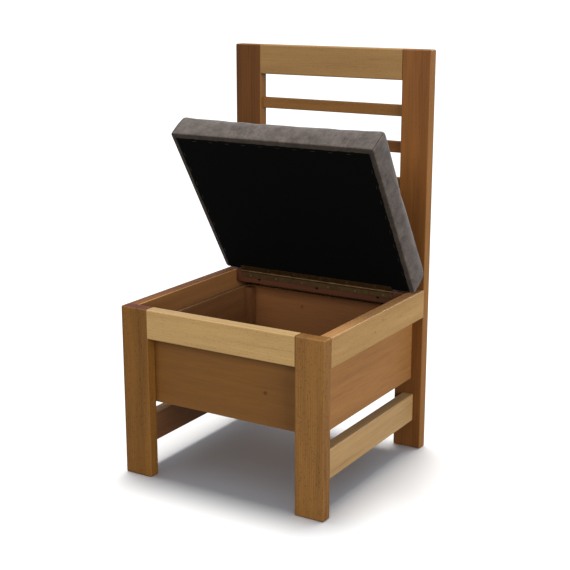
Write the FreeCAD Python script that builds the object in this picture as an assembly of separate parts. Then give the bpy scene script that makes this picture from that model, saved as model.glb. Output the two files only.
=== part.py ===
import FreeCAD, Part
import math
import os
from FreeCAD import Vector

# Single-seat storage chair in solid beech: a board frame with a slatted back, a panelled
# storage box under the seat, and an upholstered lid on a continuous hinge.
# X to the sitter's left, Y to the back, Z up; origin on the floor under the middle.
# All sizes in millimetres.

# ---- driving dimensions ----
width = 500.0              # over the outer faces of the legs
depth = 480.0              # front of the front legs to back of the rear posts
height = 910.0             # floor to the top of the posts
rail_top = 381.0           # top of the seat rails and front legs
leg_width = 68.0           # wide face of legs and posts, seen from the front
board = 27.0               # thickness of legs, posts, rails and stretchers
arris = 3.0                # rounding on the exposed long edges
seat_rail_height = 65.0

top_rail_height = 67.0
slat_height = 25.0
slat_thickness = 14.0
slat_setback = 10.0        # slat front face behind the post front face
slat_pitch = 80.5
slat_count = 3
slat_tenon = 12.0
first_slat_top = 788.5

stretcher_bottom = 66.0
stretcher_height = 65.0

dowel_radius = 4.0
dowel_length = 40.0
dowel_in_frame = 17.0      # part of a dowel that sits in the leg or post
dowel_inset = 12.0         # dowel centres from a rail's long edges
glue_room = 1.0            # free space at each end of a dowel hole
fit_gap = 0.05             # radial clearance of dowels and screws in their holes

panel = 12.0               # thickness of the box sides
panel_top = 336.0
panel_bottom = 168.0
floor_thickness = 6.0
floor_above_edge = 8.0     # underside of the box floor above the panels' lower edges
groove = 6.0
corner_block = 20.0

batten_depth = 47.0        # rail that carries the hinge, in front of the posts
batten_height = 30.0
batten_screw_x = (-158.0, 0.0, 158.0)
batten_screw_z = 362.5

hinge_length = 400.0
hinge_shift = -5.0         # the hinge sits a little off centre
hinge_leaf = 15.0          # pin axis to the outer edge of a leaf
leaf_thickness = 1.2
knuckle_radius = 2.2
pin_radius = 1.0
mount_offset = 2.5         # pin axis to the wood that a leaf lies on
knuckle_count = 20
knuckle_gap = 0.3
hinge_screw_count = 6
hinge_screw_pitch = 70.5
hinge_screw_offset = 10.0  # screw line to the pin axis
lid_screw_stagger = -18.0  # the lid's screws sit between the frame's

lid_gap = 1.0              # closed lid's underside above the rails
lid_height = 67.0          # dust cloth to seat surface
lid_setback = 3.5          # lid rear face in front of the pin axis
lid_depth = 406.0
seat_board_thickness = 12.0
cover = 1.5
cloth = 0.5
wrap = 35.0                # width of cover folded under the board
cloth_inset = 11.0         # edge of the lid to edge of the dust cloth
lid_open = 58.0            # opening angle where the cushion leans on the posts
seat_edge_front = 14.0
seat_edge_rear = 22.0
seat_edge_side = 10.0

staple_crown = 10.0
staple_wire = 0.5
staple_leg = 6.0
staple_pitch = 42.0
staple_inset = 6.0         # staple line inside the dust cloth's edge

# ---- derived positions ----
outer_x = width / 2
inner_x = outer_x - leg_width
rail_inner_x = outer_x - board
front_y = -depth / 2
leg_back_y = front_y + board
back_y = depth / 2
post_front_y = back_y - board
rail_bottom = rail_top - seat_rail_height
batten_front_y = post_front_y - batten_depth
axis_y = batten_front_y - mount_offset
lid_bottom = rail_top + lid_gap
axis_z = lid_bottom - mount_offset
cover_bottom = lid_bottom + cloth
board_bottom = cover_bottom + cover
board_top = board_bottom + seat_board_thickness
lid_top = lid_bottom + lid_height
lid_rear_y = axis_y - lid_setback
lid_front_y = lid_rear_y - lid_depth
floor_bottom = panel_bottom + floor_above_edge

axis_x = Vector(1, 0, 0)
axis_y_dir = Vector(0, 1, 0)
axis_z_dir = Vector(0, 0, 1)
parts = {}


def block(x_span, y_span, z_span):
    (x0, x1), (y0, y1), (z0, z1) = x_span, y_span, z_span
    return Part.makeBox(x1 - x0, y1 - y0, z1 - z0, Vector(x0, y0, z0))


def edges_along(shape, direction):
    return [e for e in shape.Edges if abs(e.tangentAt(e.FirstParameter).dot(direction)) > 0.999]


def rounded(shape, radius, direction=None):
    """Round every edge, or only the edges that run along a direction."""
    edges = shape.Edges if direction is None else edges_along(shape, direction)
    return shape.makeFillet(radius, edges)


def mirrored(shape):
    return shape.mirror(Vector(0, 0, 0), axis_x)


def left_and_right(name, right_shape):
    parts[name + "_right"] = right_shape
    parts[name + "_left"] = mirrored(right_shape)


def opened(shape):
    """Turn a lid piece from the closed place, where it is drawn, to the open one."""
    turned = shape.copy()
    turned.rotate(Vector(0, axis_y, axis_z), axis_x, -lid_open)
    return turned


# ---- dowels: each one is (point on the joint face, direction into the rail) ----
def pair_of_dowels(joint_point, direction, bottom, tall):
    heights = (bottom + dowel_inset, bottom + tall - dowel_inset)
    return [(Vector(joint_point[0], joint_point[1], z), direction) for z in heights]


def mirrored_dowels(dowels):
    return [(Vector(-p.x, p.y, p.z), Vector(-d.x, d.y, d.z)) for p, d in dowels]


def dowel(joint, radius, extra):
    point, direction = joint
    start = point - direction * (dowel_in_frame + extra)
    return Part.makeCylinder(radius, dowel_length + 2 * extra, start, direction)


def drilled(shape, dowels):
    holes = [dowel(joint, dowel_radius + fit_gap, glue_room) for joint in dowels]
    return shape.cut(Part.Compound(holes))


def dowel_group(dowels):
    chamfer = 1.0
    pegs = []
    for joint in dowels:
        peg = dowel(joint, dowel_radius, 0)
        pegs.append(peg.makeChamfer(chamfer, [e for e in peg.Edges if e.Closed]))
    return Part.Compound(pegs)


seat_mid_y = (front_y + leg_back_y) / 2
back_mid_y = (post_front_y + back_y) / 2
side_rail_x = outer_x - board / 2
stretcher_x = outer_x - leg_width / 2

front_rail_dowels = pair_of_dowels((inner_x, seat_mid_y), Vector(-1, 0, 0), rail_bottom, seat_rail_height)
side_front_dowels = pair_of_dowels((side_rail_x, leg_back_y), Vector(0, 1, 0), rail_bottom, seat_rail_height)
side_rear_dowels = pair_of_dowels((side_rail_x, post_front_y), Vector(0, -1, 0), rail_bottom, seat_rail_height)
rear_rail_dowels = pair_of_dowels((inner_x, back_mid_y), Vector(-1, 0, 0), rail_bottom, seat_rail_height)
top_rail_dowels = pair_of_dowels((inner_x, back_mid_y), Vector(-1, 0, 0),
                                 height - top_rail_height, top_rail_height)
low_front_dowels = pair_of_dowels((stretcher_x, leg_back_y), Vector(0, 1, 0), stretcher_bottom, stretcher_height)
low_rear_dowels = pair_of_dowels((stretcher_x, post_front_y), Vector(0, -1, 0), stretcher_bottom, stretcher_height)


def slat_spans():
    """Front face, back face, bottom and top of each back slat, from the top one down."""
    y_span = (post_front_y + slat_setback, post_front_y + slat_setback + slat_thickness)
    tops = [first_slat_top - i * slat_pitch for i in range(slat_count)]
    return [(y_span, (top - slat_height, top)) for top in tops]


# ---- frame ----
def make_legs():
    leg = rounded(block((inner_x, outer_x), (front_y, leg_back_y), (0, rail_top)), arris)
    leg = drilled(leg, front_rail_dowels + side_front_dowels + low_front_dowels)
    left_and_right("front_leg", leg)

    post = rounded(block((inner_x, outer_x), (post_front_y, back_y), (0, height)), arris)
    post = drilled(post, rear_rail_dowels + top_rail_dowels + side_rear_dowels + low_rear_dowels)
    for y_span, z_span in slat_spans():
        mortise = block((inner_x - 1, inner_x + slat_tenon + glue_room), y_span, z_span)
        post = post.cut(mortise)
    left_and_right("rear_post", post)


def make_cross_rail(y_span, z_span, dowels):
    rail = rounded(block((-inner_x, inner_x), y_span, z_span), arris, axis_x)
    return drilled(rail, dowels + mirrored_dowels(dowels))


def make_rails():
    seat_z = (rail_bottom, rail_top)
    parts["front_rail"] = make_cross_rail((front_y, leg_back_y), seat_z, front_rail_dowels)
    parts["rear_rail"] = make_cross_rail((post_front_y, back_y), seat_z, rear_rail_dowels)
    parts["back_top_rail"] = make_cross_rail((post_front_y, back_y), (height - top_rail_height, height),
                                             top_rail_dowels)

    side = rounded(block((rail_inner_x, outer_x), (leg_back_y, post_front_y), seat_z), arris, axis_y_dir)
    left_and_right("side_rail", drilled(side, side_front_dowels + side_rear_dowels))

    low_x = (stretcher_x - board / 2, stretcher_x + board / 2)
    low_z = (stretcher_bottom, stretcher_bottom + stretcher_height)
    low = rounded(block(low_x, (leg_back_y, post_front_y), low_z), arris, axis_y_dir)
    left_and_right("stretcher", drilled(low, low_front_dowels + low_rear_dowels))


def make_slats():
    names = ("back_slat_upper", "back_slat_middle", "back_slat_lower")
    reach = inner_x + slat_tenon
    slat_arris = 2.0
    for name, (y_span, z_span) in zip(names, slat_spans()):
        body = rounded(block((-inner_x, inner_x), y_span, z_span), slat_arris, axis_x)
        tenon = block((-reach, reach), (y_span[0] + slat_arris, y_span[1] - slat_arris),
                      (z_span[0] + slat_arris, z_span[1] - slat_arris))
        parts[name] = body.fuse(tenon).removeSplitter()


def make_dowels():
    cross = front_rail_dowels + rear_rail_dowels
    side = side_front_dowels + side_rear_dowels
    low = low_front_dowels + low_rear_dowels
    parts["seat_rail_dowels"] = dowel_group(cross + side + mirrored_dowels(cross + side))
    parts["top_rail_dowels"] = dowel_group(top_rail_dowels + mirrored_dowels(top_rail_dowels))
    parts["stretcher_dowels"] = dowel_group(low + mirrored_dowels(low))


# ---- storage box ----
def make_box():
    inner_wall_x = rail_inner_x - panel
    inner_wall_y = post_front_y - panel
    z_span = (panel_bottom, panel_top)
    floor_z = (floor_bottom, floor_bottom + floor_thickness)
    floor = block((-inner_wall_x - groove, inner_wall_x + groove),
                  (-inner_wall_y - groove, inner_wall_y + groove), floor_z)
    parts["box_floor"] = floor

    edge = 1.0
    side = rounded(block((inner_wall_x, rail_inner_x), (leg_back_y, post_front_y), z_span), edge, axis_y_dir)
    left_and_right("box_side_panel", side.cut(floor))

    wall_x = (-inner_wall_x, inner_wall_x)
    front = rounded(block(wall_x, (leg_back_y, -inner_wall_y), z_span), edge, axis_x)
    back = rounded(block(wall_x, (inner_wall_y, post_front_y), z_span), edge, axis_x)
    parts["box_front_panel"] = front.cut(floor)
    parts["box_back_panel"] = back.cut(floor)

    block_z = (floor_bottom + floor_thickness, panel_top - arris)
    block_x = (inner_wall_x - corner_block, inner_wall_x)
    for end, y_span in (("front", (-inner_wall_y, -inner_wall_y + corner_block)),
                        ("rear", (inner_wall_y - corner_block, inner_wall_y))):
        left_and_right("box_corner_block_" + end, block(block_x, y_span, block_z))


# ---- countersunk screws: head cone, shank, cross recess ----
def screw(head_point, direction, shank_radius, length):
    head_radius = 2 * shank_radius
    head_depth = head_radius - shank_radius
    head = Part.makeCone(head_radius, shank_radius, head_depth, head_point, direction)
    tip_length = 2 * shank_radius
    shank = Part.makeCylinder(shank_radius, length - tip_length, head_point, direction)
    tip = Part.makeCone(shank_radius, 0.2, tip_length, head_point + direction * (length - tip_length), direction)
    return head.fuse([shank, tip]).removeSplitter().cut(cross_recess(head_point, direction, shank_radius))


def cross_recess(head_point, direction, shank_radius):
    arm = 1.1 * shank_radius
    thick = 0.22 * shank_radius
    deep = 0.8 * shank_radius
    bars = [Part.makeBox(2 * a, 2 * b, 2 * deep, Vector(-a, -b, -deep)) for a, b in ((arm, thick), (thick, arm))]
    cross = bars[0].fuse(bars[1]).removeSplitter()
    cross.Placement = FreeCAD.Placement(head_point, FreeCAD.Rotation(axis_z_dir, direction))
    return cross


def screw_hole(head_point, direction, shank_radius, length):
    """Clearance hole and countersink for one screw, from in front of its head to past its tip."""
    radius = shank_radius + fit_gap
    head_radius = 2 * shank_radius + fit_gap
    front = head_point - direction * 2.0
    bore = Part.makeCylinder(radius, length + glue_room + 2.0, front, direction)
    mouth = Part.makeCylinder(head_radius, 2.0, front, direction)
    sink = Part.makeCone(head_radius, radius, head_radius - radius, head_point, direction)
    return bore.fuse([mouth, sink])


def with_screws(shape, screws):
    return shape.cut(Part.Compound([screw_hole(*s) for s in screws]))


def screw_group(screws):
    return Part.Compound([screw(*s) for s in screws])


def hinge_screw_x(stagger):
    first = hinge_shift + stagger - hinge_screw_pitch * (hinge_screw_count - 1) / 2
    return [first + i * hinge_screw_pitch for i in range(hinge_screw_count)]


into_batten = Vector(0, 1, 0)
into_lid = Vector(0, 0, 1)
frame_leaf_face = axis_y + mount_offset - leaf_thickness
lid_leaf_face = axis_z + mount_offset - leaf_thickness
batten_screws = [(Vector(x, batten_front_y, batten_screw_z), into_batten, 1.75, 62.0) for x in batten_screw_x]
frame_screws = [(Vector(x, frame_leaf_face, axis_z - hinge_screw_offset), into_batten, 1.3, 16.0)
                for x in hinge_screw_x(0)]
lid_screws = [(Vector(x, axis_y - hinge_screw_offset, lid_leaf_face), into_lid, 1.3, 12.0)
              for x in hinge_screw_x(lid_screw_stagger)]


def make_batten():
    batten = block((-rail_inner_x, rail_inner_x), (batten_front_y, post_front_y),
                   (rail_top - batten_height, rail_top))
    batten = rounded(batten, arris / 2, axis_x)
    parts["hinge_batten"] = with_screws(batten, batten_screws + frame_screws)
    parts["rear_rail"] = with_screws(parts["rear_rail"], batten_screws)
    parts["batten_screws"] = screw_group(batten_screws)


# ---- continuous hinge ----
def leaf_blank(own_first):
    """A leaf lying under the pin axis: its plate hangs down, knuckles take every second place."""
    pitch = hinge_length / knuckle_count
    start = hinge_shift - hinge_length / 2
    plate_top = -(knuckle_radius + 0.4)
    plate_y = (mount_offset - leaf_thickness, mount_offset)
    leaf = block((start, start + hinge_length), plate_y, (-hinge_leaf, plate_top))
    for i in range(own_first, knuckle_count, 2):
        x0 = start + i * pitch + knuckle_gap / 2
        knuckle = Part.makeCylinder(knuckle_radius, pitch - knuckle_gap, Vector(x0, 0, 0), axis_x)
        web = block((x0, x0 + pitch - knuckle_gap), plate_y, (plate_top, 0))
        leaf = leaf.fuse([knuckle, web])
    bore = Part.makeCylinder(pin_radius + fit_gap, hinge_length + 2, Vector(start - 1, 0, 0), axis_x)
    return leaf.removeSplitter().cut(bore)


def make_hinge():
    frame_leaf = leaf_blank(0)
    frame_leaf.translate(Vector(0, axis_y, axis_z))
    parts["hinge_frame_leaf"] = with_screws(frame_leaf, frame_screws)
    parts["hinge_frame_screws"] = screw_group(frame_screws)

    lid_leaf = leaf_blank(1).mirror(Vector(0, 0, 0), Vector(0, 1, -1))
    lid_leaf.translate(Vector(0, axis_y, axis_z))
    parts["hinge_lid_leaf"] = with_screws(lid_leaf, lid_screws)
    parts["hinge_lid_screws"] = screw_group(lid_screws)

    pin_start = Vector(hinge_shift - hinge_length / 2, axis_y, axis_z)
    parts["hinge_pin"] = Part.makeCylinder(pin_radius, hinge_length, pin_start, axis_x)


# ---- upholstered lid, drawn closed ----
def cushion_form(inset):
    """Side profile with rounded top corners, drawn out across the seat and rounded at its ends."""
    y0, y1 = lid_front_y + inset, lid_rear_y - inset
    z0, z1 = cover_bottom + inset, lid_top - inset
    front, rear, side = (r - inset for r in (seat_edge_front, seat_edge_rear, seat_edge_side))
    x0 = -outer_x + inset
    half = math.sqrt(0.5)

    def corner(y, z, radius, turn):
        """Quarter arc about (y, z), from straight forward or back to straight up."""
        points = [(turn, 0), (turn * half, half), (0, 1)]
        return Part.Arc(*[Vector(x0, y + radius * a, z + radius * b) for a, b in points]).toShape()

    def line(a, b):
        return Part.makeLine(Vector(x0, *a), Vector(x0, *b))

    outline = Part.Wire([line((y0, z0), (y0, z1 - front)),
                         corner(y0 + front, z1 - front, front, -1),
                         line((y0 + front, z1), (y1 - rear, z1)),
                         corner(y1 - rear, z1 - rear, rear, 1),
                         line((y1, z1 - rear), (y1, z0)),
                         line((y1, z0), (y0, z0))])
    form = Part.Face(outline).extrude(Vector(width - 2 * inset, 0, 0))
    ends = [e for e in form.Edges
            if abs(abs(e.CenterOfMass.x) - (outer_x - inset)) < 0.01 and e.CenterOfMass.z > z0 + 0.01]
    return form.makeFillet(side, ends)


def staple_places():
    """Centre and crown direction of each staple, along the four edges of the dust cloth."""
    half_x = outer_x - cloth_inset - staple_inset
    y0 = lid_front_y + cloth_inset + staple_inset
    y1 = lid_rear_y - cloth_inset - staple_inset
    across = round(2 * half_x / staple_pitch)
    along = round((y1 - y0) / staple_pitch)
    places = []
    for i in range(1, across):
        x = -half_x + 2 * half_x * i / across
        places.append((x, y0, True))
    for i in range(1, along):
        y = y0 + (y1 - y0) * i / along
        places += [(-half_x, y, False), (half_x, y, False)]
    return places


def staple(x, y, crown_along_x):
    half = staple_crown / 2
    wire = staple_wire
    top = lid_bottom + staple_leg
    crown = block((-half, half), (-wire, wire), (lid_bottom - wire, lid_bottom))
    legs = [block((a, a + wire), (-wire, wire), (lid_bottom - wire, top)) for a in (-half, half - wire)]
    shape = crown.fuse(legs).removeSplitter()
    if not crown_along_x:
        shape.rotate(Vector(0, 0, 0), axis_z_dir, 90)
    shape.translate(Vector(x, y, 0))
    return shape


def make_lid():
    outside = cushion_form(0)
    inside = cushion_form(cover)
    window = block((-outer_x + wrap, outer_x - wrap), (lid_front_y + wrap, lid_rear_y - wrap),
                   (cover_bottom - 1, board_bottom + 1))
    everything = (-width, width)
    parts["seat_cover"] = with_screws(outside.cut(inside).cut(window), lid_screws)
    board_slab = block(everything, everything, (board_bottom, board_top))
    foam_slab = block(everything, everything, (board_top, lid_top))
    parts["seat_board"] = with_screws(inside.common(board_slab), lid_screws)
    parts["seat_foam"] = inside.common(foam_slab)

    cloth_sheet = block((-outer_x + cloth_inset, outer_x - cloth_inset),
                        (lid_front_y + cloth_inset, lid_rear_y - lid_setback), (lid_bottom, cover_bottom))
    parts["dust_cloth"] = with_screws(cloth_sheet, lid_screws)
    parts["dust_cloth_staples"] = Part.Compound([staple(*place) for place in staple_places()])


def open_lid():
    for name in ("seat_cover", "seat_board", "seat_foam", "dust_cloth", "dust_cloth_staples",
                 "hinge_lid_leaf", "hinge_lid_screws"):
        parts[name] = opened(parts[name])


make_legs()
make_rails()
make_slats()
make_dowels()
make_box()
make_batten()
make_hinge()
make_lid()
open_lid()

os.makedirs("parts", exist_ok=True)
for name, shape in parts.items():
    shape.exportStep("parts/" + name + ".step")
    print(name, "solids", len(shape.Solids), "valid", shape.isValid(), "cm3", round(shape.Volume / 1000, 2))
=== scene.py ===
import math
import bmesh
import bpy
import numpy as np
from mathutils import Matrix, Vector
from mathutils.bvhtree import BVHTree


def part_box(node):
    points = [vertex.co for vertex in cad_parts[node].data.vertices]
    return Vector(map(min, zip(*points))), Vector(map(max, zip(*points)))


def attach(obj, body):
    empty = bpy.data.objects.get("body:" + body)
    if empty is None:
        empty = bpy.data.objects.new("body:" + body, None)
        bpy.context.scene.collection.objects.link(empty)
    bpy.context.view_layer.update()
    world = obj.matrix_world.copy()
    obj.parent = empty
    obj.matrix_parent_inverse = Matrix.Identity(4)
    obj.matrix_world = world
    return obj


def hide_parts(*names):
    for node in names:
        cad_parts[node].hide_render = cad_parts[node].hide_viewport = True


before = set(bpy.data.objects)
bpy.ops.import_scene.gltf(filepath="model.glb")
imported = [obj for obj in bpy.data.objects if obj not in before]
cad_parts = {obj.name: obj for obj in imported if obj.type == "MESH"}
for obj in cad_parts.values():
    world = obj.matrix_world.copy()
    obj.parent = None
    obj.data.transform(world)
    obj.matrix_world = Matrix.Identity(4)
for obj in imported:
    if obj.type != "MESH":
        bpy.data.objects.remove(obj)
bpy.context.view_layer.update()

# Storage chair in oiled beech with an upholstered lid, shown with the lid open.
# Metres, front facing -Y; left and right are as seen from the front.

mm = 0.001
scene = bpy.context.scene
print("frame loaded:", len(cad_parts), "pieces")


# Degrees, metres, and millimetres of lens on a sensor.
view = {"azimuth": 31.27, "elevation": 14.45, "place": (1.319, -2.148, 1.056), "lens": 74.96,
        "sensor": 36.0, "farthest": 1000.0}
azimuth, elevation = math.radians(view["azimuth"]), math.radians(view["elevation"])
towardsCamera = Vector((math.sin(azimuth) * math.cos(elevation),
                        -math.cos(azimuth) * math.cos(elevation), math.sin(elevation)))
camera = bpy.data.objects.new("camera", bpy.data.cameras.new("camera"))
camera.data.lens = view["lens"]
camera.data.sensor_width = view["sensor"]
camera.location = view["place"]
camera.rotation_euler = (-towardsCamera).to_track_quat("-Z", "Y").to_euler()
camera.data.clip_end = view["farthest"]
scene.collection.objects.link(camera)
scene.camera = camera
scene.view_settings.view_transform = "Standard"


# sRGB hex to linear: c / 12.92 below 0.04045, else ((c + 0.055) / 1.055) ** 2.4.
def hexColour(text):
    values = [int(text[i:i + 2], 16) / 255 for i in (1, 3, 5)]
    return tuple(c / 12.92 if c < 0.04045 else ((c + 0.055) / 1.055) ** 2.4 for c in values) + (1.0,)


colourA, colourB = 6, 7  # the two colour inputs of a Mix node set to RGBA
white, black = (1.0, 1.0, 1.0, 1.0), (0.0, 0.0, 0.0, 1.0)


# One node with its settings; an input is a value, or another node's output to link.
def addNode(tree, kind, inputs=None, **settings):
    node = tree.nodes.new("ShaderNode" + kind)
    for name, value in settings.items():
        setattr(node, name, value)
    for name, value in (inputs or {}).items():
        if isinstance(value, bpy.types.NodeSocket):
            tree.links.new(value, node.inputs[name])
        else:
            node.inputs[name].default_value = value
    return node


def newMaterial(name):
    material = bpy.data.materials.new(name)
    material.use_nodes = True
    tree = material.node_tree
    tree.nodes.clear()
    return material, tree


def finishMaterial(tree, inputs):
    shader = addNode(tree, "BsdfPrincipled", inputs)
    addNode(tree, "OutputMaterial", {"Surface": shader.outputs["BSDF"]})


def setMaterial(thing, material):
    thing.data.materials.clear()
    thing.data.materials.append(material)


studio = {"floor": "#fffefa", "floorSize": 400.0, "floorBounce": 0.36, "floorRoughness": 0.9,
          "domeColour": "#e6edfc", "dome": 0.41}

# A softbox's strength, its turn in degrees, and how wide it looks from the chair, in degrees.
softboxes = {
    "overhead": {"strength": 2.9, "turn": (-7.5, -4.0, 0.0), "width": 22.0},
    "front": {"strength": 1.6, "turn": (58.0, 0.0, -8.0), "width": 33.0},
    "right": {"strength": 2.6, "turn": (78.0, 0.0, 68.0), "width": 33.0},
    "left": {"strength": 1.3, "turn": (70.0, 0.0, -110.0), "width": 33.0},
    "rear": {"strength": 1.5, "turn": (66.0, 0.0, 170.0), "width": 33.0},
}


def makeStudio():
    half = studio["floorSize"] / 2
    corners = [(-half, -half, 0), (half, -half, 0), (half, half, 0), (-half, half, 0)]
    mesh = bpy.data.meshes.new("floor")
    mesh.from_pydata(corners, [], [(0, 1, 2, 3)])
    floor = bpy.data.objects.new("floor", mesh)
    scene.collection.objects.link(floor)

    # Matte white paper, even and without a shine. It throws back less light than it shows, like a
    # floor with the lamps flagged off it.
    material, tree = newMaterial("matte white paper")
    seen = addNode(tree, "LightPath").outputs["Is Camera Ray"]
    share = addNode(tree, "MapRange", {"Value": seen, "To Min": studio["floorBounce"], "To Max": 1.0})
    tone = addNode(tree, "Mix", {"Factor": share.outputs[0], colourA: black,
                                 colourB: hexColour(studio["floor"])}, data_type="RGBA")
    finishMaterial(tree, {"Base Color": tone.outputs[2], "Roughness": studio["floorRoughness"],
                          "Specular IOR Level": 0.0})
    setMaterial(floor, material)

    # The room is white to the eye, and lights the chair more softly than it looks.
    world = bpy.data.worlds.new("white room")
    world.use_nodes = True
    tree = world.node_tree
    tree.nodes.clear()
    soft = addNode(tree, "Background", {"Color": hexColour(studio["domeColour"]), "Strength": studio["dome"]})
    plain = addNode(tree, "Background", {"Color": white, "Strength": 1.0})
    room = addNode(tree, "MixShader", {0: addNode(tree, "LightPath").outputs["Is Camera Ray"],
                                       1: soft.outputs[0], 2: plain.outputs[0]})
    addNode(tree, "OutputWorld", {"Surface": room.outputs[0]})
    scene.world = world

    chairOnly = bpy.data.collections.new("lit by the softboxes")
    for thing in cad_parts.values():
        chairOnly.objects.link(thing)

    # Only the overhead softbox lights the floor too, so the chair has one shadow.
    for name, softbox in softboxes.items():
        light = bpy.data.lights.new(name + " softbox", "SUN")
        light.energy = softbox["strength"]
        light.angle = math.radians(softbox["width"])
        lamp = bpy.data.objects.new(name + " softbox", light)
        lamp.rotation_euler = [math.radians(a) for a in softbox["turn"]]
        scene.collection.objects.link(lamp)
        if name != "overhead":
            lamp.light_linking.receiver_collection = chairOnly
    return chairOnly


chairOnly = makeStudio()
print("camera, floor and lights made")


# Beech, planed and oiled: even pink-brown wood, faint growth rings, short dark ray flecks.
# Rings are 2 to 4 mm apart and flecks 1 by 3 mm on the real wood; both are drawn about twice as
# coarse, so that they show. Sizes are in mm; shade 0 is the light wood and 1 the dark, and each
# "Shade" is how far one thing moves it.
beech = {
    "baseShade": 0.3, "shiftPerSeed": 1.37,
    "ringSpacing": 4.5, "ringShade": 0.3, "bend": 18.0, "bendSize": (60, 420), "fadeSize": (14, 160),
    "fibreSize": (1.8, 45.0), "fibreShade": 0.55,
    "bandSize": (26.0, 380.0), "bandShade": 1.5,
    "fleckSize": (2.0, 6.0), "fleckShare": 0.5, "fleckShade": 0.8,
    "knotShade": 0.6, "endGrainShade": 0.2,
    "roughness": 0.5, "specular": 0.22, "relief": 0.12, "bump": 0.5,
}
turns = {"X": (0, math.radians(90), 0), "Y": (math.radians(90), 0, 0), "Z": (0, 0, 0)}
axes = {"X": (1, 0, 0), "Y": (0, 1, 0), "Z": (0, 0, 1)}


# Growth rings = saw wave of the distance to the pith, a line along the grain that noise bends;
# fibres and tone bands = noise drawn out along the grain; flecks = cells drawn out the same way.
# knots: (x, y, z, radius) in mm; face tints: (the way a face looks, its tint, how the tint is mixed in),
# mostly painted light and shade on the faces turned that way.
def makeWood(name, along, light, dark, pith, seed, rings=0.5, flecks=0.5, bands=0.5,
             knots=(), faceTints=()):
    material, tree = newMaterial(name)
    place = addNode(tree, "TexCoord").outputs["Object"]
    toPith = (pith[0] * mm, pith[1] * mm, seed * beech["shiftPerSeed"])
    grain = addNode(tree, "Mapping", {"Vector": place, "Rotation": turns[along], "Location": toPith})
    grain = grain.outputs[0]

    def perMetre(size):
        across, lengthwise = size
        return 1 / (across * mm), 1 / (across * mm), 1 / (lengthwise * mm)

    def drawnOut(size, detail, rough, shift):
        vector = addNode(tree, "Mapping", {"Vector": grain, "Scale": perMetre(size),
                                           "Location": (shift, seed, 0)})
        return addNode(tree, "TexNoise", {"Vector": vector.outputs[0], "Scale": 1.0,
                                          "Detail": detail, "Roughness": rough})

    bend = drawnOut(beech["bendSize"], 2.0, 0.5, 0.0)
    bend = addNode(tree, "VectorMath", {0: bend.outputs["Color"], 1: (0.5, 0.5, 0.5)}, operation="SUBTRACT")
    bend = addNode(tree, "VectorMath", {0: bend.outputs[0], "Scale": beech["bend"] * mm}, operation="SCALE")
    bent = addNode(tree, "VectorMath", {0: grain, 1: bend.outputs[0]}, operation="ADD")
    # A Wave node of scale 1 repeats every 2 pi / 20.
    ringScale = 2 * math.pi / 20 / (beech["ringSpacing"] * mm)
    ring = addNode(tree, "TexWave", {"Vector": bent.outputs[0], "Scale": ringScale, "Distortion": 0.0},
                   wave_type="RINGS", rings_direction="Z", wave_profile="SAW")
    ringLine = addNode(tree, "MapRange", {"Value": ring.outputs["Fac"], "From Min": 0.25, "From Max": 1.0},
                       interpolation_type="SMOOTHSTEP")
    fade = drawnOut(beech["fadeSize"], 1.0, 0.5, 3.0)
    ringFade = addNode(tree, "MapRange", {"Value": fade.outputs["Fac"], "From Min": 0.4, "From Max": 0.65})
    ringLine = addNode(tree, "Math", {0: ringLine.outputs[0], 1: ringFade.outputs[0]}, operation="MULTIPLY")

    fibre = drawnOut(beech["fibreSize"], 3.0, 0.6, 5.0)
    band = drawnOut(beech["bandSize"], 2.0, 0.5, 9.0)
    fleckPlace = addNode(tree, "Mapping", {"Vector": grain, "Scale": perMetre(beech["fleckSize"])})
    cell = addNode(tree, "TexVoronoi", {"Vector": fleckPlace.outputs[0], "Scale": 1.0, "Randomness": 1.0})
    mark = addNode(tree, "MapRange", {"Value": cell.outputs["Distance"], "From Min": 0.42, "From Max": 0.18},
                   interpolation_type="SMOOTHSTEP")
    draw = addNode(tree, "SeparateColor", {"Color": cell.outputs["Color"]})
    strength = addNode(tree, "MapRange", {"Value": draw.outputs["Red"], "From Min": beech["fleckShare"],
                                          "From Max": 0.0})
    fleck = addNode(tree, "Math", {0: mark.outputs[0], 1: strength.outputs[0]}, operation="MULTIPLY")

    # Noise moves the shade both ways from its middle, 0.5; a fleck only darkens.
    shade = addNode(tree, "Math", {0: ringLine.outputs[0], 1: beech["ringShade"] * rings,
                                   2: beech["baseShade"]}, operation="MULTIPLY_ADD")
    for source, weight, centre in ((fibre.outputs["Fac"], beech["fibreShade"], 0.5),
                                   (band.outputs["Fac"], beech["bandShade"] * bands, 0.5),
                                   (fleck.outputs[0], beech["fleckShade"] * flecks, 0.0)):
        part = addNode(tree, "Math", {0: source, 1: weight, 2: -weight * centre}, operation="MULTIPLY_ADD")
        shade = addNode(tree, "Math", {0: shade.outputs[0], 1: part.outputs[0]}, operation="ADD")

    # End grain soaks up more oil.
    facing = addNode(tree, "VectorMath", {0: addNode(tree, "TexCoord").outputs["Normal"], 1: axes[along]},
                     operation="DOT_PRODUCT")
    facing = addNode(tree, "Math", {0: facing.outputs["Value"]}, operation="ABSOLUTE")
    endGrain = addNode(tree, "MapRange", {"Value": facing.outputs[0], "From Min": 0.6, "From Max": 0.95,
                                          "To Max": beech["endGrainShade"]})
    shade = addNode(tree, "Math", {0: shade.outputs[0], 1: endGrain.outputs[0]}, operation="ADD")

    for x, y, z, radius in knots:
        away = addNode(tree, "VectorMath", {0: place, 1: (x * mm, y * mm, z * mm)}, operation="DISTANCE")
        spot = addNode(tree, "MapRange", {"Value": away.outputs["Value"], "From Min": 2.2 * radius * mm,
                                          "From Max": 0.3 * radius * mm,
                                          "To Max": beech["knotShade"]},
                       interpolation_type="SMOOTHSTEP")
        shade = addNode(tree, "Math", {0: shade.outputs[0], 1: spot.outputs[0]}, operation="ADD")

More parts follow.
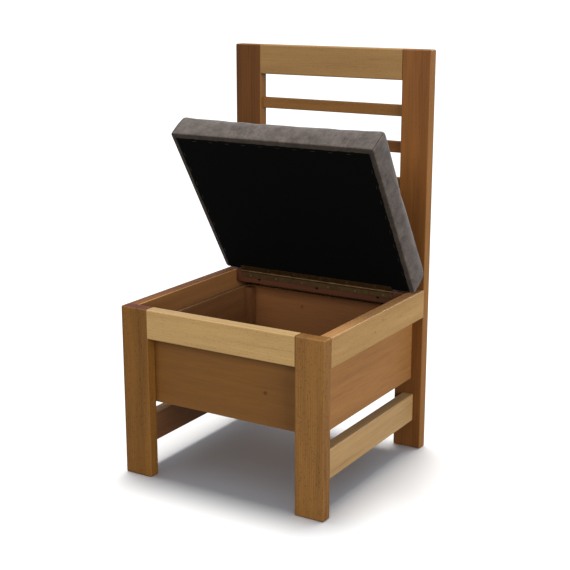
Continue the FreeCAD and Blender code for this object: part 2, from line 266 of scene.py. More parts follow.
    colour = addNode(tree, "Mix", {"Factor": shade.outputs[0], colourA: hexColour(light),
                                   colourB: hexColour(dark)}, data_type="RGBA", clamp_factor=False)
    # Face tints: painted light and shade on the faces turned one way, except on the panels' top edges, where
    # the tint is the plies' own colour.
    for direction, tint, way in faceTints:
        turned = addNode(tree, "VectorMath", {0: addNode(tree, "TexCoord").outputs["Normal"], 1: direction},
                         operation="DOT_PRODUCT")
        share = addNode(tree, "MapRange", {"Value": turned.outputs["Value"], "From Min": 0.75,
                                           "From Max": 0.95})
        tinted = addNode(tree, "Mix", {"Factor": 1.0, colourA: colour.outputs[2], colourB: hexColour(tint)},
                         data_type="RGBA", blend_type=way)
        colour = addNode(tree, "Mix", {"Factor": share.outputs[0], colourA: colour.outputs[2],
                                       colourB: tinted.outputs[2]}, data_type="RGBA")
    rough = addNode(tree, "MapRange", {"Value": fibre.outputs["Fac"], "To Min": beech["roughness"] - 0.08,
                                       "To Max": beech["roughness"] + 0.12})
    relief = addNode(tree, "Bump", {"Height": shade.outputs[0], "Strength": beech["bump"],
                                    "Distance": -beech["relief"] * mm})
    finishMaterial(tree, {"Base Color": colour.outputs[2], "Roughness": rough.outputs[0],
                          "Normal": relief.outputs[0], "Specular IOR Level": beech["specular"]})
    return material


# along: grain direction; colours: light and dark wood; pith: where the heart of the tree lay, in mm
# across the board; rings and flecks: how strongly they show.
# Each board's face tints are painted light and shade: the shaded inner faces of the left rail and left
# stretcher, the tops of the side rails under the lid, the tops of the legs and front rail, and the fronts of
# the posts.
boards = {
    "front_leg_left": {"along": "Z", "colours": ("#79501d", "#462a0b"), "pith": (30, 140), "rings": 0.8,
                       "flecks": 1.1, "faceTints": [((0, 0, 1), "#dda056", "MULTIPLY")]},
    "front_leg_right": {"along": "Z", "colours": ("#8b602d", "#523314"), "pith": (-60, 160), "rings": 0.8,
                        "flecks": 1.1, "faceTints": [((0, 0, 1), "#fffeec", "MULTIPLY")]},
    # The left post's darker colours are partly its own tone and partly painted shade from the cushion leaning
    # on it.
    "rear_post_left": {"along": "Z", "colours": ("#845825", "#4d2d0f"), "pith": (90, -70), "rings": 1.2,
                       "flecks": 0.35, "faceTints": [((0, -1, 0), "#c5b392", "MULTIPLY")]},
    "rear_post_right": {"along": "Z", "colours": ("#94642d", "#573614"), "pith": (-110, -90), "rings": 0.8,
                        "flecks": 0.35, "faceTints": [((0, -1, 0), "#e8d9db", "MULTIPLY")]},
    "front_rail": {"along": "X", "colours": ("#b69560", "#825e36"), "pith": (-260, 190), "rings": 0.5,
                   "flecks": 0.7, "faceTints": [((0, 0, 1), "#edf2ff", "MULTIPLY")]},
    "rear_rail": {"along": "X", "colours": ("#aa854f", "#79542c"), "pith": (40, 90), "rings": 0.7},
    "back_top_rail": {"along": "X", "colours": ("#9b7747", "#6e4a26"), "pith": (70, 120), "rings": 0.6},
    "side_rail_left": {"along": "Y", "colours": ("#af8a56", "#7c5730"), "pith": (100, 60), "rings": 0.6,
                       "faceTints": [((1, 0, 0), "#b49d93", "MULTIPLY"), ((0, 0, 1), "#a57c3a", "MULTIPLY")]},
    "side_rail_right": {"along": "Y", "colours": ("#ae8a55", "#7c572f"), "pith": (-130, 80), "rings": 0.6,
                        "knots": [(250, 8, 363, 1.5), (250, -26, 344, 1.8), (250, -34, 372, 1.0)],
                        "faceTints": [((0, 0, 1), "#eddfe0", "MULTIPLY")]},
    "stretcher_left": {"along": "Y", "colours": ("#906c40", "#664322"), "pith": (90, -60), "rings": 0.7,
                       "faceTints": [((1, 0, 0), "#b0a0a6", "MULTIPLY")]},
    "stretcher_right": {"along": "Y", "colours": ("#ae8d5e", "#7c5935"), "pith": (-120, 50), "rings": 0.7},
    "back_slat_upper": {"along": "X", "colours": ("#865b2a", "#543617"), "pith": (60, 40), "rings": 0.6},
    # The middle slat's darker colours are painted shade: the shadow of the open lid over it.
    "back_slat_middle": {"along": "X", "colours": ("#724620", "#472910"), "pith": (-50, 60), "rings": 0.6},
    "back_slat_lower": {"along": "X", "colours": ("#865b2a", "#543617"), "pith": (30, 80), "rings": 0.6},
}
# Light and dark wood of the stained and raw pieces, and the one colour of the panels' top edges.
tones = {
    "panel": ("#764e20", "#47270d"),
    "backPanel": ("#7e532e", "#4c2a12"),
    "sidePanel": ("#9e6f3c", "#603a1a"),
    "block": ("#6b4526", "#412410"),
    "raw": ("#c9a777", "#96703f"),
    "plywood": ("#b58d5c", "#8a6238"),
    "batten": ("#522d18", "#2f170b"),
    "plyEdge": "#6e533a",
}


# figure: how strongly rings, flecks and bands show, and any knots and face tints; the face tints are painted
# light and shade, except the plies' colour on the panels' top edges.
def giveWood(node, kind, along, colours, pith, seed, **figure):
    wood = makeWood(kind + " " + node.replace("_", " "), along, *colours, pith, seed, **figure)
    setMaterial(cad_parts[node], wood)


for seed, (name, board) in enumerate(boards.items(), 1):
    giveWood(name, "oiled beech", board["along"], board["colours"], board["pith"], seed,
             rings=board["rings"], flecks=board.get("flecks", 0.6), knots=board.get("knots", ()),
             faceTints=board.get("faceTints", ()))

# Box panels: stained beech veneer on plywood, a soft level grain with the odd pin knot. The faces
# inside the box are tinted darker, painted shade, and the plies show dark along the top edge.
panels = {
    "box_front_panel": {"along": "X", "colours": tones["panel"], "knots": [(97, -213, 239, 3.0)],
                        "inward": (0, 1, 0), "inwardPaintedShade": "#f4f0ee"},
    "box_back_panel": {"along": "X", "colours": tones["backPanel"], "knots": [(-60, 201, 300, 2.5)],
                       "inward": (0, -1, 0), "inwardPaintedShade": "#f4f0ee"},
    "box_side_panel_left": {"along": "Y", "colours": tones["sidePanel"], "knots": [],
                            "inward": (1, 0, 0), "inwardPaintedShade": "#afa8b4"},
    "box_side_panel_right": {"along": "Y", "colours": tones["sidePanel"], "knots": [],
                             "inward": (-1, 0, 0), "inwardPaintedShade": "#afa8b4"},
}
for seed, (name, panel) in enumerate(panels.items(), 31):
    paintedShadeAndPlyEdge = [(panel["inward"], panel["inwardPaintedShade"], "MULTIPLY"), ((0, 0, 1), tones["plyEdge"], "MIX")]
    giveWood(name, "stained beech veneer", panel["along"], panel["colours"], (55, 320), seed,
             rings=0.35, flecks=0.15, bands=0.4, knots=panel["knots"], faceTints=paintedShadeAndPlyEdge)

# Stained beech blocks and batten: darker, because end grain and rough sides take more stain.
cornerBlocks = [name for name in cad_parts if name.startswith("box_corner_block")]
for seed, name in enumerate(cornerBlocks, 41):
    giveWood(name, "stained beech", "Z", tones["block"], (25, 40), seed, rings=0.5)
giveWood("hinge_batten", "stained beech", "X", tones["batten"], (40, 60), 51, rings=0.6)

# Turned beech dowels and birch plywood, both left raw: pale and dry.
for name in ("seat_rail_dowels", "top_rail_dowels", "stretcher_dowels"):
    giveWood(name, "turned beech", "X", tones["raw"], (10, 20), 61, rings=0.3)
for name in ("box_floor", "seat_board"):
    giveWood(name, "birch plywood", "X", tones["plywood"], (0, 900), 71, rings=0.4, flecks=0.2)
print("wood materials made")


# colour and stain: the clean metal and its tarnish, in patches of patch mm.
metals = {
    # Rolled brass strip, dulled with age: brown patches over a dark yellow metal.
    "rolled brass": {"colour": "#6b5639", "stain": "#533f29", "roughness": 0.5, "patch": 14.0,
                     "nodes": ("hinge_frame_leaf", "hinge_lid_leaf")},
    # Zinc plated steel, barrel plated: pale grey with a soft shine.
    "zinc plated steel": {"colour": "#c9c7c1", "stain": "#9a988f", "roughness": 0.38, "patch": 3.0,
                          "nodes": ("hinge_pin",)},
    # Turned brass wood screws, as dull as the leaf they hold.
    "turned brass": {"colour": "#8f835f", "stain": "#6b6046", "roughness": 0.45, "patch": 3.0,
                     "nodes": ("hinge_frame_screws", "hinge_lid_screws")},
    # Galvanised wire staples, pressed into the felt: dull grey.
    "galvanised wire": {"colour": "#4c4a47", "stain": "#31302e", "roughness": 0.6, "patch": 3.0,
                        "nodes": ("dust_cloth_staples",)},
    # Black phosphated steel screws: near black, slightly greasy.
    "black phosphated steel": {"colour": "#2c2a28", "stain": "#161514", "roughness": 0.5, "patch": 2.0,
                               "nodes": ("batten_screws",)},
}


# from and to: the noise where tarnish starts and where it is full; relief is in mm.
tarnish = {"from": 0.38, "to": 0.66, "smoother": 0.12, "rougher": 0.15, "relief": 0.1, "bump": 0.3}


# Base colour = metal to tarnish by noise; the same noise makes the tarnish rougher and uneven.
def makeMetal(name, metal):
    material, tree = newMaterial(name)
    place = addNode(tree, "TexCoord").outputs["Object"]
    cloud = addNode(tree, "TexNoise", {"Vector": place, "Scale": 1 / (metal["patch"] * mm), "Detail": 4.0,
                                       "Roughness": 0.65})
    share = addNode(tree, "MapRange", {"Value": cloud.outputs["Fac"], "From Min": tarnish["from"],
                                       "From Max": tarnish["to"]})
    mixed = addNode(tree, "Mix", {"Factor": share.outputs[0], colourA: hexColour(metal["colour"]),
                                  colourB: hexColour(metal["stain"])}, data_type="RGBA")
    rough = addNode(tree, "MapRange", {"Value": cloud.outputs["Fac"],
                                       "To Min": metal["roughness"] - tarnish["smoother"],
                                       "To Max": metal["roughness"] + tarnish["rougher"]})
    relief = addNode(tree, "Bump", {"Height": cloud.outputs["Fac"], "Strength": tarnish["bump"],
                                    "Distance": tarnish["relief"] * mm})
    finishMaterial(tree, {"Base Color": mixed.outputs[2], "Metallic": 1.0, "Roughness": rough.outputs[0],
                          "Normal": relief.outputs[0]})
    return material


for name, metal in metals.items():
    material = makeMetal(name, metal)
    for node in metal["nodes"]:
        setMaterial(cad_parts[node], material)
print("metal materials made")


# Everything on the lid is drawn with the lid shut, then turned open about the hinge line.
lid = {"open": 58.0, "axisY": 163.5, "axisZ": 379.5}


# Turn about the hinge line: y' = y cos a - z sin a, z' = y sin a + z cos a.
def turnLid(points, degrees):
    a = math.radians(degrees)
    y, z = points[..., 1] - lid["axisY"] * mm, points[..., 2] - lid["axisZ"] * mm
    turned = np.array(points)
    turned[..., 1] = lid["axisY"] * mm + y * math.cos(a) - z * math.sin(a)
    turned[..., 2] = lid["axisZ"] * mm + y * math.sin(a) + z * math.cos(a)
    return turned


# Faces are an array of quads, or a list where their sides differ in number.
def meshObject(name, points, faces):
    mesh = bpy.data.meshes.new(name)
    mesh.from_pydata(points.reshape(-1, 3).tolist(), [], faces if isinstance(faces, list) else faces.tolist())
    mesh.validate()
    mesh.polygons.foreach_set("use_smooth", [True] * len(mesh.polygons))
    thing = bpy.data.objects.new(name, mesh)
    scene.collection.objects.link(thing)
    chairOnly.objects.link(thing)
    return thing


# Quads of a grid of points numbered row by row; wrapRound joins the last column to the first.
def gridFaces(rows, columns, wrapRound=False, start=0):
    i, j = np.meshgrid(np.arange(rows - 1), np.arange(columns if wrapRound else columns - 1), indexing="ij")
    k = (j + 1) % columns
    quads = np.stack([i * columns + j, i * columns + k, (i + 1) * columns + k, (i + 1) * columns + j], -1)
    return quads.reshape(-1, 4) + start


# Sizes in mm. The border is the cover's flat turn-under; the rim is the flat edge of the crown.
cushion = {
    "width": 500.0, "front": -246.0, "rear": 160.0, "bottom": 382.5, "top": 449.0,
    "frontRadius": 14.0, "rearRadius": 20.0, "sideRadius": 10.0, "lowRadius": 3.5,
    "cornerRadius": 5.0, "cornerSpread": 8.0, "cornerBlend": 30.0, "crownFrom": 20.0,
    "bulge": 3.0, "bulgeReach": 6.0, "cornerBulge": 0.35, "bandRows": 9,
    "border": (40, 34, 28, 22.5, 17.5, 13, 9.5, 6.5), "rim": 40.0, "rimSteps": (0.14, 0.34, 0.66, 1.0),
    "step": 6.0, "fineStep": 1.8, "stepGrowth": 1.3,
    "seamDepth": 1.3, "seamFade": 12.0,
    "roughen": 0.35, "roughenSize": 70.0, "roughenFrom": 6.0, "roughenFade": 12.0,
}


# Positions from low to high: fine steps at both ends, each longer than the last up to the full step.
def gradedLine(low, high):
    steps = [cushion["fineStep"]]
    while steps[-1] * cushion["stepGrowth"] < cushion["step"]:
        steps.append(steps[-1] * cushion["stepGrowth"])
    ends = np.cumsum(steps)
    inner = high - low - 2 * ends[-1]
    count = max(1, round(inner / cushion["step"]))
    middle = low + ends[-1] + inner * np.arange(1, count) / count
    return np.concatenate([[low], low + ends, middle, (high - ends)[::-1], [high]])


# Sum of eight sine waves of about the given wavelength in mm, in seeded random directions.
def smoothNoise(points, size, seed):
    rng = np.random.default_rng(seed)
    directions = rng.normal(size=(8, 3))
    directions /= np.linalg.norm(directions, axis=1)[:, None]
    lengths = size * mm * rng.uniform(0.6, 1.6, 8)
    phases = rng.uniform(0, 2 * math.pi, 8)
    waves = np.sin(points.reshape(-1, 3) @ (directions * 2 * math.pi / lengths[:, None]).T + phases)
    return (waves.sum(1) / 4).reshape(points.shape[:-1])


# Half section of the cushion's edge from under the board to the top, as rows of (inset, height):
# flat border, quarter arc of lowRadius, upright band, quarter arc of radius, flat rim.
def sideProfile(radius):
    low, high = cushion["bottom"], cushion["top"]
    small = cushion["lowRadius"]
    border = [(inset, low) for inset in cushion["border"]]
    foot = [(small - small * math.sin(a), low + small - small * math.cos(a))
            for a in np.radians((0, 30, 60, 90))]
    band = [(0.0, z) for z in np.linspace(low + small, high - radius, cushion["bandRows"])[1:-1]]
    crown = [(radius - radius * math.cos(a), high - radius + radius * math.sin(a))
             for a in np.radians((0, 18, 36, 54, 72, 90))]
    rim = [(radius + (cushion["rim"] - radius) * t, high) for t in cushion["rimSteps"]]
    return np.array(border + foot + band + crown + rim)


# Closed form: side profiles carried round the plan rectangle, with a grid that closes top and bottom.
# Plan point = rectangle point, clamped to an inner rectangle and pushed out by the corner radius.
# The third array says how far each point is drawn in by the corner seams, from 0 to 1.
def makeCushionForm():
    halfWidth = cushion["width"] / 2
    x = gradedLine(-halfWidth, halfWidth)
    y = gradedLine(cushion["front"], cushion["rear"])
    loop = np.concatenate([
        np.stack([x[:-1], np.full(len(x) - 1, y[0])], -1),
        np.stack([np.full(len(y) - 1, x[-1]), y[:-1]], -1),
        np.stack([x[:0:-1], np.full(len(x) - 1, y[-1])], -1),
        np.stack([np.full(len(y) - 1, x[0]), y[:0:-1]], -1)])
    profiles = {side: sideProfile(cushion[side + "Radius"]) for side in ("front", "rear", "side")}

    middleY = (cushion["front"] + cushion["rear"]) / 2
    halfDepth = (cushion["rear"] - cushion["front"]) / 2
    px, py = loop[:, 0], loop[:, 1] - middleY
    insetY = np.where(py[None, :] < 0, profiles["front"][:, :1], profiles["rear"][:, :1])
    insetX = np.broadcast_to(profiles["side"][:, :1], insetY.shape)
    # Height: each side's own section, and half of each where two sides meet at a corner.
    fromCorner = [np.clip((half - np.abs(p)) / cushion["cornerBlend"], 0, 1)
                  for half, p in ((halfWidth, px), (halfDepth, py))]
    slack = 0.01
    onSide = np.where(np.abs(px) > halfWidth - slack, 1.0, 0.0)
    frontRearZ = np.where(py[None, :] < 0, profiles["front"][:, 1:], profiles["rear"][:, 1:])
    sideZ = np.broadcast_to(profiles["side"][:, 1:], frontRearZ.shape)
    blend = onSide * (0.5 + 0.5 * fromCorner[1]) + (1 - onSide) * (0.5 - 0.5 * fromCorner[0])
    z = sideZ * blend + frontRearZ * (1 - blend)

    # Every ring is the rectangle shrunk by its insets, with its own rounded corners.
    ringX = px[None, :] * (halfWidth - insetX) / halfWidth
    ringY = py[None, :] * (halfDepth - insetY) / halfDepth
    onCrown = z > cushion["bottom"] + cushion["crownFrom"]
    radius = cushion["cornerRadius"] + np.minimum(insetX, cushion["cornerSpread"]) * onCrown
    innerX = np.clip(ringX, -(halfWidth - insetX - radius), halfWidth - insetX - radius)
    innerY = np.clip(ringY, -(halfDepth - insetY - radius), halfDepth - insetY - radius)
    dx, dy = ringX - innerX, ringY - innerY
    corner = (np.abs(dx) > 1e-6) & (np.abs(dy) > 1e-6)
    corner[[0, -1]] = False  # the first and last rings stay square, to meet the grids
    scale = np.where(corner, radius / np.maximum(np.hypot(dx, dy), 1e-6), 1.0)
    ringX, ringY = innerX + dx * scale, innerY + dy * scale

    # The band swells as half a sine wave between the board and the top edge, less at the corners.
    share = np.clip((z - cushion["bottom"]) / (cushion["top"] - cushion["bottom"]), 0, 1)
    outward = np.sin(np.pi * np.clip(share * 1.05, 0, 1)) * cushion["bulge"]
    outward = outward * (np.minimum(insetX, insetY) < cushion["bulgeReach"])
    fade = [np.clip(away * 1.5, 0, 1) for away in fromCorner]
    fade = onSide * fade[1] + (1 - onSide) * fade[0]
    swell = outward * (cushion["cornerBulge"] + (1 - cushion["cornerBulge"]) * fade)
    spread = cushion["cornerSpread"]
    ringX = ringX + swell * np.where(np.abs(px) > halfWidth - spread, np.sign(px), 0)
    ringY = ringY + swell * np.where(np.abs(py) > halfDepth - spread, np.sign(py), 0)

    # Sewn corner: the line of points at each corner is drawn in, and the border under it folds up.
    atCorner = (np.abs(px) > halfWidth - slack) & (np.abs(np.abs(py) - halfDepth) < slack)
    sewnHeight = np.clip((cushion["top"] - z) / cushion["seamFade"], 0, 1)
    sewn = cushion["seamDepth"] * atCorner[None, :] * sewnHeight
    under = z < cushion["bottom"] + 0.5
    ringX = ringX - np.sign(px) * sewn * ~under
    ringY = ringY - np.sign(py) * sewn * ~under
    z = z + sewn * under
    rings = np.stack([ringX, ringY + middleY, z], -1) * mm
    rows, around = z.shape

    # The grids that close bottom and top share the lines of the rings next to them.
    rim = cushion["rim"]
    gx, gy = np.meshgrid(x * (halfWidth - rim) / halfWidth, (y - middleY) * (halfDepth - rim) / halfDepth,
                         indexing="ij")
    grids = [np.stack([gx, gy + middleY, np.full(gx.shape, height)], -1) * mm
             for height in (cushion["bottom"], cushion["top"])]
    points = np.concatenate([part.reshape(-1, 3) for part in (rings, *grids)])
    # How far each point is drawn in by the corner seams, kept to paint shade in their creases.
    seamShade = np.concatenate([(sewn / cushion["seamDepth"]).ravel(), np.zeros(2 * gx.size)])
    faces = np.concatenate([gridFaces(rows, around, True),
                            gridFaces(len(x), len(y), start=rows * around),
                            gridFaces(len(x), len(y), start=rows * around + gx.size)[:, ::-1]])
    return points, faces, seamShade


def weldAndTurnOut(thing, distance):
    shape = bmesh.new()
    shape.from_mesh(thing.data)
    bmesh.ops.remove_doubles(shape, verts=shape.verts, dist=distance)
    bmesh.ops.recalc_face_normals(shape, faces=shape.faces)
    shape.to_mesh(thing.data)
    shape.free()


def meshPoints(thing, what="co"):
    flat = np.zeros(len(thing.data.vertices) * 3, np.float32)
    thing.data.vertices.foreach_get(what, flat)
    return flat.reshape(-1, 3).astype(float)


def setPoints(thing, points):
    thing.data.vertices.foreach_set("co", points.astype(np.float32).ravel())
    thing.data.update()


# hold and most are in mm: the height over which the cover comes free of the board, and how far a
# point may move at the most. holdSteps is how finely the hold is graded.
filling = {"pressure": 1.0, "frames": 16, "quality": 6, "mass": 0.3, "stretch": 40.0, "bend": 1.0,
           "hold": 22.0, "holdSteps": 10, "most": 6.0}


# Cloth under inner pressure: the cover swells like a filled skin, and is held where it meets the board.
# A move of length d is kept as most tanh(d / most).
def inflate(thing):
    rest = meshPoints(thing)
    hold = 1 - np.clip((rest[:, 2] / mm - cushion["bottom"]) / filling["hold"], 0, 1)
    group = thing.vertex_groups.new(name="hold")
    for level in range(filling["holdSteps"] + 1):
        chosen = np.nonzero(np.round(hold * filling["holdSteps"]) == level)[0].tolist()
        if chosen:
            group.add(chosen, level / filling["holdSteps"], "REPLACE")
    cloth = thing.modifiers.new("cloth", "CLOTH")
    settings = cloth.settings
    settings.quality = filling["quality"]
    settings.mass = filling["mass"]
    settings.tension_stiffness = filling["stretch"]
    settings.compression_stiffness = filling["stretch"]
    settings.bending_stiffness = filling["bend"]
    settings.use_pressure = True
    settings.uniform_pressure_force = filling["pressure"]
    settings.vertex_group_mass = "hold"
    settings.effector_weights.gravity = 0
    cloth.point_cache.frame_start = 1
    cloth.point_cache.frame_end = filling["frames"]
    for step in range(1, filling["frames"] + 1):
        scene.frame_set(step)
    moved = meshPoints(thing.evaluated_get(bpy.context.evaluated_depsgraph_get())) - rest
    thing.modifiers.remove(cloth)
    thing.vertex_groups.clear()
    scene.frame_set(1)
    length = np.linalg.norm(moved, axis=1)
    most = filling["most"] * mm
    kept = most * np.tanh(length / most)
    print("cushion swelled by up to", round(length.max() / mm, 1), "mm, kept", round(kept.max() / mm, 1))
    setPoints(thing, rest + moved * (kept / np.maximum(length, 1e-9))[:, None])


# Clearance from the posts, and the width beside each post over which the flat fades out, in mm.
lean = {"fade": 14.0, "clearance": 0.3}


# Where the open lid leans on the rear posts its cover is pressed flat: y is at most their front face.
def leanOnPosts(points):
    (inner, front, _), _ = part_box("rear_post_right")
    overPost = np.clip((np.abs(points[:, 0]) - inner) / (lean["fade"] * mm) + 1, 0, 1)
    excess = np.clip(points[:, 1] - (front - lean["clearance"] * mm), 0, None)
    pressed = np.array(points)
    pressed[:, 1] -= excess * overPost
    return pressed


def addAttribute(thing, name, values):
    attribute = thing.data.attributes.new(name, "FLOAT", "POINT")
    attribute.data.foreach_set("value", np.asarray(values, np.float32))


points, faces, seamShade = makeCushionForm()
cover = meshObject("cushion_cover", points, faces)
# The corner seams are marked for painted shade in their creases.
addAttribute(cover, "seamShade", seamShade)
# The border under the board is marked for painted shade on the lid's underside.
addAttribute(cover, "pressed", points[:, 2] < (cushion["bottom"] + 1.0) * mm)
weldAndTurnOut(cover, 0.05 * mm)
# Slight unevenness of the foam, everywhere but near the board.
points = meshPoints(cover)
height = points[:, 2] / mm - cushion["bottom"]
free = np.clip((height - cushion["roughenFrom"]) / cushion["roughenFade"], 0, 1)
uneven = smoothNoise(points, cushion["roughenSize"], 3) * cushion["roughen"] * mm * free
setPoints(cover, points + meshPoints(cover, "normal") * uneven[:, None])
print("cushion form made:", len(cover.data.vertices), "points")
inflate(cover)
setPoints(cover, leanOnPosts(turnLid(meshPoints(cover), -lid["open"])))
subdivide = cover.modifiers.new("subdivide", "SUBSURF")
subdivide.levels = subdivide.render_levels = 1
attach(cover, "lid")
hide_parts("seat_cover", "seat_foam")
print("cushion finished")


# Sizes in mm: a row of stitches lies fromCorner away on each side of a corner seam.
stitch = {"length": 3.4, "pitch": 4.6, "thickness": 0.8, "proud": 0.1, "fromCorner": 4.5, "outside": 8.0,
          "lowest": 5.0, "highest": 12.0, "rings": 6, "sides": 6,
          "light": "#4a4340", "dark": "#2f2a28", "twist": 0.6}


# Each stitch is a capsule: rings of radius r sqrt(1 - t^4) at t from -1 to 1 along its line,
# laid on the point of the cover nearest to it.
def makeStitches():
    surface = BVHTree.FromObject(cover, bpy.context.evaluated_depsgraph_get())
    heights = np.arange(cushion["bottom"] + stitch["lowest"], cushion["top"] - stitch["highest"],
                        stitch["pitch"])
    near, outside, half = stitch["fromCorner"], stitch["outside"], cushion["width"] / 2
    lines = []
    for sideX in (-1, 1):
        for edgeY, sideY in ((cushion["front"], -1), (cushion["rear"], 1)):
            lines.append((sideX * (half - near), edgeY + sideY * outside))
            lines.append((sideX * (half + outside), edgeY - sideY * near))
    starts = np.array([(x, y, z) for x, y in lines for z in heights]) * mm
    ends = starts + (0, 0, stitch["length"] * mm)
    centres, outs, alongs = [], [], []
    for low, high in zip(turnLid(starts, -lid["open"]), turnLid(ends, -lid["open"])):
        a, normal, _, _ = surface.find_nearest(Vector(low))
        b, _, _, _ = surface.find_nearest(Vector(high))
        centres.append((a + b) / 2)
        outs.append(normal)
        alongs.append((b - a) / 2)
    centres, outs, alongs = (np.array(v, float)[:, None, None, :] for v in (centres, outs, alongs))
    across = np.cross(outs, alongs)
    across /= np.linalg.norm(across, axis=-1, keepdims=True)
    rings, sides = stitch["rings"], stitch["sides"]
    t = np.linspace(-0.98, 0.98, rings)[None, :, None, None]
    angle = np.linspace(0, 2 * math.pi, sides, endpoint=False)[None, None, :, None]
    radius = stitch["thickness"] / 2 * mm * np.sqrt(1 - t ** 4)
    points = centres + alongs * t + radius * (np.cos(angle) * across + np.sin(angle) * outs)
    points = points + outs * stitch["proud"] * mm
    size = rings * sides
    shell = gridFaces(rows=rings, columns=sides, wrapRound=True)
    caps = (range(sides - 1, -1, -1), range(size - sides, size))
    faces = [tuple(quad) for k in range(len(starts)) for quad in (shell + size * k).tolist()]
    faces += [tuple(size * k + i for i in cap) for k in range(len(starts)) for cap in caps]
    thing = meshObject("corner_stitching", points, faces)
    weldAndTurnOut(thing, 1e-6)
    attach(thing, "lid")
    return thing


stitching = makeStitches()
# Twisted polyester thread, dyed to the suede: a shade darker than the nap.
material, tree = newMaterial("twisted polyester thread")
place = addNode(tree, "TexCoord").outputs["Object"]
twist = addNode(tree, "TexNoise", {"Vector": place, "Scale": 1 / (stitch["twist"] * mm)})
tone = addNode(tree, "Mix", {"Factor": twist.outputs["Fac"], colourA: hexColour(stitch["dark"]),
                             colourB: hexColour(stitch["light"])}, data_type="RGBA")
finishMaterial(tree, {"Base Color": tone.outputs[2], "Roughness": 0.6})
setMaterial(stitching, material)
print("corner stitching made:", len(stitching.data.polygons), "faces")


# Microfibre suede, brushed: short nap that lies both ways, so light and dark patches, and a soft sheen.
# Sizes in mm. Two colours multiply the colour darker as painted shade: on the border under the board, which
# faces down when the lid is open, and in the creases of the corner seams.
suede = {"light": "#6a6059", "dark": "#3f3833", "pressed": "#aea291", "seamShade": "#6a6462",
         "patch": 26.0, "smallPatch": 7.0, "nap": 1.6, "streakWidth": 6.0, "streakLength": 15.0,
         "streakLean": 14.0, "broadShade": 1.3, "smallShade": 0.7, "napShade": 0.6, "streakShade": 0.6,
         "roughness": 0.88, "specular": 0.2, "sheen": 0.15, "sheenRoughness": 0.4,
         "napRelief": 0.35, "patchRelief": 0.8}


# Shade = broad patches + small patches + nap grain + streaks, each a noise about its middle, 0.5.
def makeSuede(name):
    material, tree = newMaterial(name)
    place = addNode(tree, "TexCoord").outputs["Object"]

    def noise(size, detail, rough):
        return addNode(tree, "TexNoise", {"Vector": place, "Scale": 1 / (size * mm), "Detail": detail,
                                          "Roughness": rough}).outputs["Fac"]

    broad = noise(suede["patch"], 3.0, 0.6)
    small = noise(suede["smallPatch"], 3.0, 0.6)
    nap = noise(suede["nap"], 2.0, 0.7)
    # Strokes of the brush, drawn out through the thickness of the lid, which leans back when open.
    stroke = addNode(tree, "Mapping", {
        "Vector": place, "Rotation": (math.radians(-lid["open"]), math.radians(suede["streakLean"]), 0),
        "Scale": (suede["streakWidth"] * mm, suede["streakWidth"] * mm, suede["streakLength"] * mm)},
        vector_type="TEXTURE")
    streak = addNode(tree, "TexNoise", {"Vector": stroke.outputs[0], "Scale": 1.0, "Detail": 2.0,
                                        "Roughness": 0.55}).outputs["Fac"]
    # A middling patch has shade 0.35, nearer dark than light.
    weight = suede["broadShade"]
    shade = addNode(tree, "Math", {0: broad, 1: weight, 2: 0.35 - weight / 2}, operation="MULTIPLY_ADD")
    for source, weight in ((small, suede["smallShade"]), (nap, suede["napShade"]),
                           (streak, suede["streakShade"])):
        part = addNode(tree, "Math", {0: source, 1: weight, 2: -weight / 2}, operation="MULTIPLY_ADD")
        shade = addNode(tree, "Math", {0: shade.outputs[0], 1: part.outputs[0]}, operation="ADD")
    colour = addNode(tree, "Mix", {"Factor": shade.outputs[0], colourA: hexColour(suede["dark"]),
                                   colourB: hexColour(suede["light"])}, data_type="RGBA")
    # Painted shade: the border under the board and the creases of the corner seams are multiplied darker.
    for attribute in ("pressed", "seamShade"):
        share = addNode(tree, "Attribute", attribute_name=attribute).outputs["Fac"]
        darker = addNode(tree, "Mix", {"Factor": share, colourA: white,
                                       colourB: hexColour(suede[attribute])}, data_type="RGBA")
        colour = addNode(tree, "Mix", {"Factor": 1.0, colourA: colour.outputs[2],
                                       colourB: darker.outputs[2]}, data_type="RGBA", blend_type="MULTIPLY")
    relief = addNode(tree, "Bump", {"Height": nap, "Strength": 0.5, "Distance": suede["napRelief"] * mm})
    relief = addNode(tree, "Bump", {"Height": small, "Strength": 0.35,
                                    "Distance": suede["patchRelief"] * mm, "Normal": relief.outputs[0]})
    finishMaterial(tree, {"Base Color": colour.outputs[2], "Roughness": suede["roughness"],
                          "Specular IOR Level": suede["specular"], "Sheen Weight": suede["sheen"],
                          "Sheen Roughness": suede["sheenRoughness"], "Normal": relief.outputs[0]})
    return material


setMaterial(cover, makeSuede("brushed microfibre suede"))


# Sizes in mm. ragged: how far the cut edge wanders in; pucker: how far the cloth hangs off the board.
dust = {"halfWidth": 239.0, "front": -235.0, "rear": 156.5, "under": 382.5, "step": 4.0,
        "thickness": 0.5, "ragged": 0.9, "raggedMiddle": 0.6, "raggedSize": 16.0, "raggedBand": 12.0,
        "pucker": 0.5, "puckerSize": 60.0,
        "light": "#0a0908", "dark": "#030303", "fibre": 2.5, "relief": 0.3}


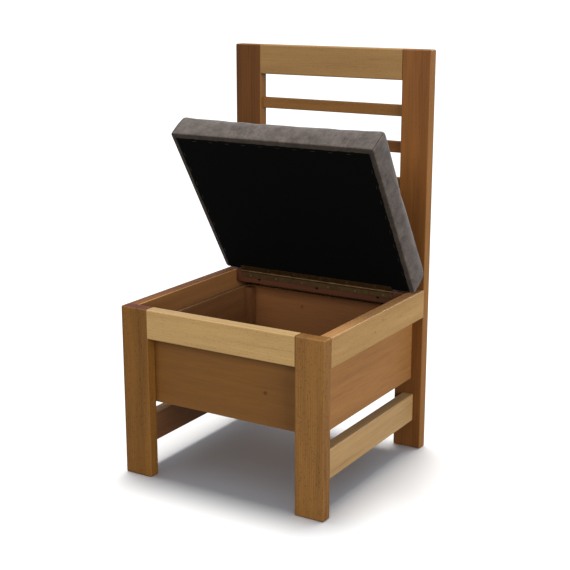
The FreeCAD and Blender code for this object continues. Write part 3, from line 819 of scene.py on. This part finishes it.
# Flat sheet; its cut edge wanders by noise, and it stands off the board in small puckers.
def makeDustCloth():
    x = np.linspace(-dust["halfWidth"], dust["halfWidth"], round(2 * dust["halfWidth"] / dust["step"]) + 1)
    y = np.linspace(dust["front"], dust["rear"], round((dust["rear"] - dust["front"]) / dust["step"]) + 1)
    gx, gy = np.meshgrid(x, y, indexing="ij")
    points = np.stack([gx, gy, np.full(gx.shape, dust["under"])], -1) * mm
    band, size = dust["raggedBand"], dust["raggedSize"]
    edgeX = np.clip((np.abs(gx) - dust["halfWidth"] + band) / band, 0, 1) * np.sign(gx)
    edgeY = np.clip((dust["front"] + band - gy) / band, 0, 1)
    ragged, middle = dust["ragged"] * mm, dust["raggedMiddle"]
    points[..., 0] -= edgeX * ragged * (middle + smoothNoise(points, size, 11))
    points[..., 1] += edgeY * ragged * (middle + smoothNoise(points, size, 12))
    points[..., 2] -= np.clip(smoothNoise(points, dust["puckerSize"], 13), 0, 1) * dust["pucker"] * mm
    return meshObject("dust_cover", turnLid(points, -lid["open"]), gridFaces(len(x), len(y)))


dustCloth = makeDustCloth()
thick = dustCloth.modifiers.new("thickness", "SOLIDIFY")
thick.thickness = dust["thickness"] * mm
thick.offset = 1.0
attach(dustCloth, "lid")
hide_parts("dust_cloth")

# Spunbonded polypropylene, black: matt felted fibres, too fine to show singly, so drawn as small clouds.
material, tree = newMaterial("spunbonded polypropylene")
place = addNode(tree, "TexCoord").outputs["Object"]
fibres = addNode(tree, "TexNoise", {"Vector": place, "Scale": 1 / (dust["fibre"] * mm), "Detail": 4.0,
                                    "Roughness": 0.7}).outputs["Fac"]
tone = addNode(tree, "Mix", {"Factor": fibres, colourA: hexColour(dust["dark"]),
                             colourB: hexColour(dust["light"])}, data_type="RGBA")
relief = addNode(tree, "Bump", {"Height": fibres, "Strength": 0.4, "Distance": dust["relief"] * mm})
finishMaterial(tree, {"Base Color": tone.outputs[2], "Roughness": 0.95, "Specular IOR Level": 0.05,
                      "Normal": relief.outputs[0]})
setMaterial(dustCloth, material)
print("dust cloth made")
